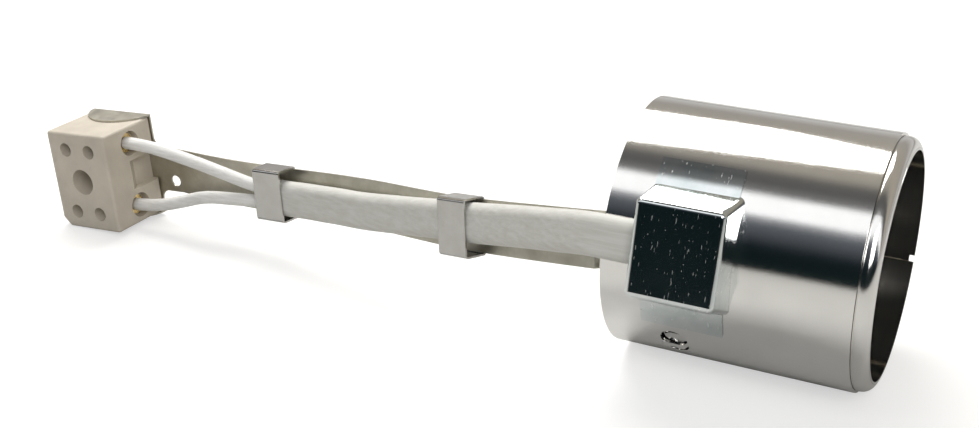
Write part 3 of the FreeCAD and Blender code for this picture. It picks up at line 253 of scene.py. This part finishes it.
WIRE = plated_steel("nickel_wire", (0.66, 0.63, 0.58), (0.48, 0.45, 0.40), 0.3)

FINISH = {
    "outer_band": BAND_STEEL, "outer_sheath": RIM_STEEL, "inner_sheath": RIM_STEEL,
    "inner_mica": MICA, "outer_mica": MICA, "mica_former": MICA, "insulating_pad": MICA,
    "heating_ribbon": RIBBON, "upper_ribbon_tab": RIBBON, "lower_ribbon_tab": RIBBON,
    "terminal_cover": COVER_STEEL, "upper_crimp": BRASS, "lower_crimp": BRASS,
    "upper_conductor": WIRE, "lower_conductor": WIRE,
    "upper_lead_sleeve": LEAD, "lower_lead_sleeve": LEAD, "braided_sleeve": BRAID,
    "support_strip": STRIP_STEEL, "block_clip": CLIP_STEEL, "middle_clip": CLIP_STEEL,
    "terminal_block": CERAMIC, "upper_brass_tube": BRASS, "lower_brass_tube": BRASS,
    "upper_supply_screw": SCREW_STEEL, "lower_supply_screw": SCREW_STEEL,
    "upper_heater_screw": SCREW_STEEL, "lower_heater_screw": SCREW_STEEL,
    "mounting_screw": SCREW_STEEL, "mounting_nut": SCREW_STEEL,
    "upper_clamp_ear": CLIP_STEEL, "lower_clamp_ear": CLIP_STEEL,
    "clamp_screw": SCREW_STEEL, "clamp_nut": SCREW_STEEL,
}


def dress_nodes():
    for name, material in FINISH.items():
        mesh = NODES[name].data
        mesh.materials.clear()
        mesh.materials.append(material)


# The strip that closes the split: clock angles, radii and ends along the bore, in mm.
SPLIT = {"clocks": (198.2, 201.8), "radii": (28.9, 29.3), "ends": (-28.0, 28.6)}
SPLIT_STEPS = 4


def build_split_overlap():
    """A strip inside the split stands for the casing's lower end tucked under the upper."""
    first, last = SPLIT["clocks"]
    points, faces = [], []
    for i in range(SPLIT_STEPS + 1):
        turn = math.radians(first + (last - first) * i / SPLIT_STEPS)
        for x in SPLIT["ends"]:
            for radius in SPLIT["radii"]:
                points.append((x * MM, -radius * math.cos(turn) * MM,
                               radius * math.sin(turn) * MM))
    for i in range(SPLIT_STEPS):
        a, b = 4 * i, 4 * i + 4
        faces += [(a, a + 2, b + 2, b), (a + 1, b + 1, b + 3, a + 3),
                  (a, b, b + 1, a + 1), (a + 2, a + 3, b + 3, b + 2)]
    top = 4 * SPLIT_STEPS
    faces += [(0, 1, 3, 2), (top, top + 2, top + 3, top + 1)]
    mesh = bpy.data.meshes.new("split_overlap")
    mesh.from_pydata(points, [], faces)
    mesh.materials.append(RIM_STEEL)
    piece = bpy.data.objects.new("split_overlap", mesh)
    bpy.context.scene.collection.objects.link(piece)
    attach(piece, BODY)


# ---------------------------------------------------------------- studio
# The camera of the photograph: its place, its azimuth and elevation, and its lens.
CAMERA_PLACE = (0.0709, -0.3014, 0.1432)
CAMERA_ANGLES = (26.0, 24.2)
CAMERA_LENS = 50.8
# Each lamp's name, place, width, height and power. All aim at one point.
LAMPS = (("key", (-0.35, 0.35, 0.75), 0.7, 0.5, 9.0), ("fill", (0.5, -0.9, 0.7), 0.6, 0.6, 5.0))
LAMP_TARGET = (-0.06, 0.0, 0.0)
FLOOR_REACH = 4.0
FLOOR_COLOUR = (0.52, 0.515, 0.50)
# What the camera alone sees added to the floor, so that it looks white where nothing shades it.
FLOOR_LIFT = 0.55


def area_light(name, place, width, height, power):
    data = bpy.data.lights.new(name, "AREA")
    data.shape = "RECTANGLE"
    data.size = width
    data.size_y = height
    data.energy = power
    light = bpy.data.objects.new(name, data)
    light.location = place
    aim = Vector(place) - Vector(LAMP_TARGET)
    light.rotation_mode = "QUATERNION"
    light.rotation_quaternion = aim.to_track_quat("Z", "Y")
    bpy.context.scene.collection.objects.link(light)


def build_floor(level):
    mesh = bpy.data.meshes.new("floor")
    corners = [(x * FLOOR_REACH, y * FLOOR_REACH, level)
               for x, y in ((-1, -1), (1, -1), (1, 1), (-1, 1))]
    mesh.from_pydata(corners, [], [(0, 1, 2, 3)])
    floor = bpy.data.objects.new("floor", mesh)
    bpy.context.scene.collection.objects.link(floor)
    n = Nodes("floor_paper")
    n.set(Roughness=0.9, Specular_IOR_Level=0.0)
    n.shader.inputs["Base Color"].default_value = FLOOR_COLOUR + (1.0,)
    glow = n.add("ShaderNodeEmission")
    path = n.add("ShaderNodeLightPath")
    lift = n.maths("MULTIPLY", path.outputs["Is Camera Ray"], FLOOR_LIFT)
    n.link(lift, glow.inputs["Strength"])
    both = n.add("ShaderNodeAddShader")
    n.link(n.shader.outputs[0], both.inputs[0])
    n.link(glow.outputs[0], both.inputs[1])
    n.link(both.outputs[0], n.output.inputs["Surface"])
    mesh.materials.append(n.material)


# What polished metal sees round the X axis: degrees from the front, over the top, to the
# back, with the colour there. Dark near the camera, a softbox above it, pale behind.
SURROUNDINGS = [
    (-180, (0.58, 0.57, 0.56)), (-107, (0.36, 0.355, 0.34)), (-80, (0.47, 0.45, 0.42)),
    (-20, (0.42, 0.40, 0.37)), (-11, (0.33, 0.32, 0.30)), (-6, (0.06, 0.062, 0.062)),
    (2, (0.006, 0.012, 0.013)), (14, (0.005, 0.010, 0.011)), (21, (0.012, 0.018, 0.022)),
    (29, (0.06, 0.068, 0.078)), (38, (0.11, 0.12, 0.135)), (44, (0.34, 0.35, 0.37)),
    (48, (1.15, 1.16, 1.18)), (63, (1.15, 1.16, 1.18)), (68, (0.20, 0.20, 0.20)),
    (77, (0.10, 0.10, 0.10)), (85, (0.13, 0.125, 0.12)), (93, (0.34, 0.32, 0.28)),
    (109, (0.41, 0.37, 0.31)), (133, (0.39, 0.36, 0.31)), (160, (0.36, 0.34, 0.31)),
    (180, (0.58, 0.57, 0.56)),
]


def build_world():
    """White to the camera. Metal sees a studio that changes with the angle about X."""
    world = bpy.data.worlds.new("studio")
    world.use_nodes = True
    bpy.context.scene.world = world
    tree = world.node_tree
    tree.nodes.clear()

    def maths(operation, first, second=0.0):
        node = tree.nodes.new("ShaderNodeMath")
        node.operation = operation
        for index, item in enumerate((first, second)):
            if isinstance(item, (int, float)):
                node.inputs[index].default_value = item
            else:
                tree.links.new(item, node.inputs[index])
        return node.outputs[0]

    place = tree.nodes.new("ShaderNodeTexCoord")
    split = tree.nodes.new("ShaderNodeSeparateXYZ")
    tree.links.new(place.outputs["Generated"], split.inputs[0])
    angle = maths("ARCTAN2", split.outputs["Z"], maths("MULTIPLY", split.outputs["Y"], -1.0))
    share = maths("ADD", maths("DIVIDE", angle, 2 * math.pi), 0.5)
    ramp = tree.nodes.new("ShaderNodeValToRGB")
    elements = ramp.color_ramp.elements
    while len(elements) < len(SURROUNDINGS):
        elements.new(0.5)
    for element, (degrees, colour) in zip(elements, SURROUNDINGS):
        element.position = (degrees + 180) / 360
        element.color = colour + (1.0,)
    tree.links.new(share, ramp.inputs["Fac"])
    path = tree.nodes.new("ShaderNodeLightPath")
    seen = tree.nodes.new("ShaderNodeMix")
    seen.data_type = "RGBA"
    tree.links.new(path.outputs["Is Camera Ray"], seen.inputs[0])
    tree.links.new(ramp.outputs["Color"], seen.inputs[6])
    seen.inputs[7].default_value = (1.0, 1.0, 1.0, 1.0)
    light = tree.nodes.new("ShaderNodeBackground")
    tree.links.new(seen.outputs[2], light.inputs["Color"])
    light.inputs["Strength"].default_value = 1.0
    out = tree.nodes.new("ShaderNodeOutputWorld")
    tree.links.new(light.outputs[0], out.inputs["Surface"])


def build_camera():
    azimuth, elevation = (math.radians(angle) for angle in CAMERA_ANGLES)
    back = Vector((math.sin(azimuth) * math.cos(elevation),
                   -math.cos(azimuth) * math.cos(elevation), math.sin(elevation)))
    data = bpy.data.cameras.new("camera")
    data.sensor_width = 36.0
    data.lens = CAMERA_LENS
    data.clip_start = 0.01
    camera = bpy.data.objects.new("camera", data)
    camera.location = CAMERA_PLACE
    camera.rotation_mode = "QUATERNION"
    camera.rotation_quaternion = back.to_track_quat("Z", "Y")
    bpy.context.scene.collection.objects.link(camera)
    bpy.context.scene.camera = camera


def build_studio():
    build_floor(cad_box[0][2])
    build_world()
    build_camera()
    for lamp in LAMPS:
        area_light(*lamp)
    bpy.context.scene.view_settings.view_transform = "Standard"


dress_nodes()
build_split_overlap()
build_studio()
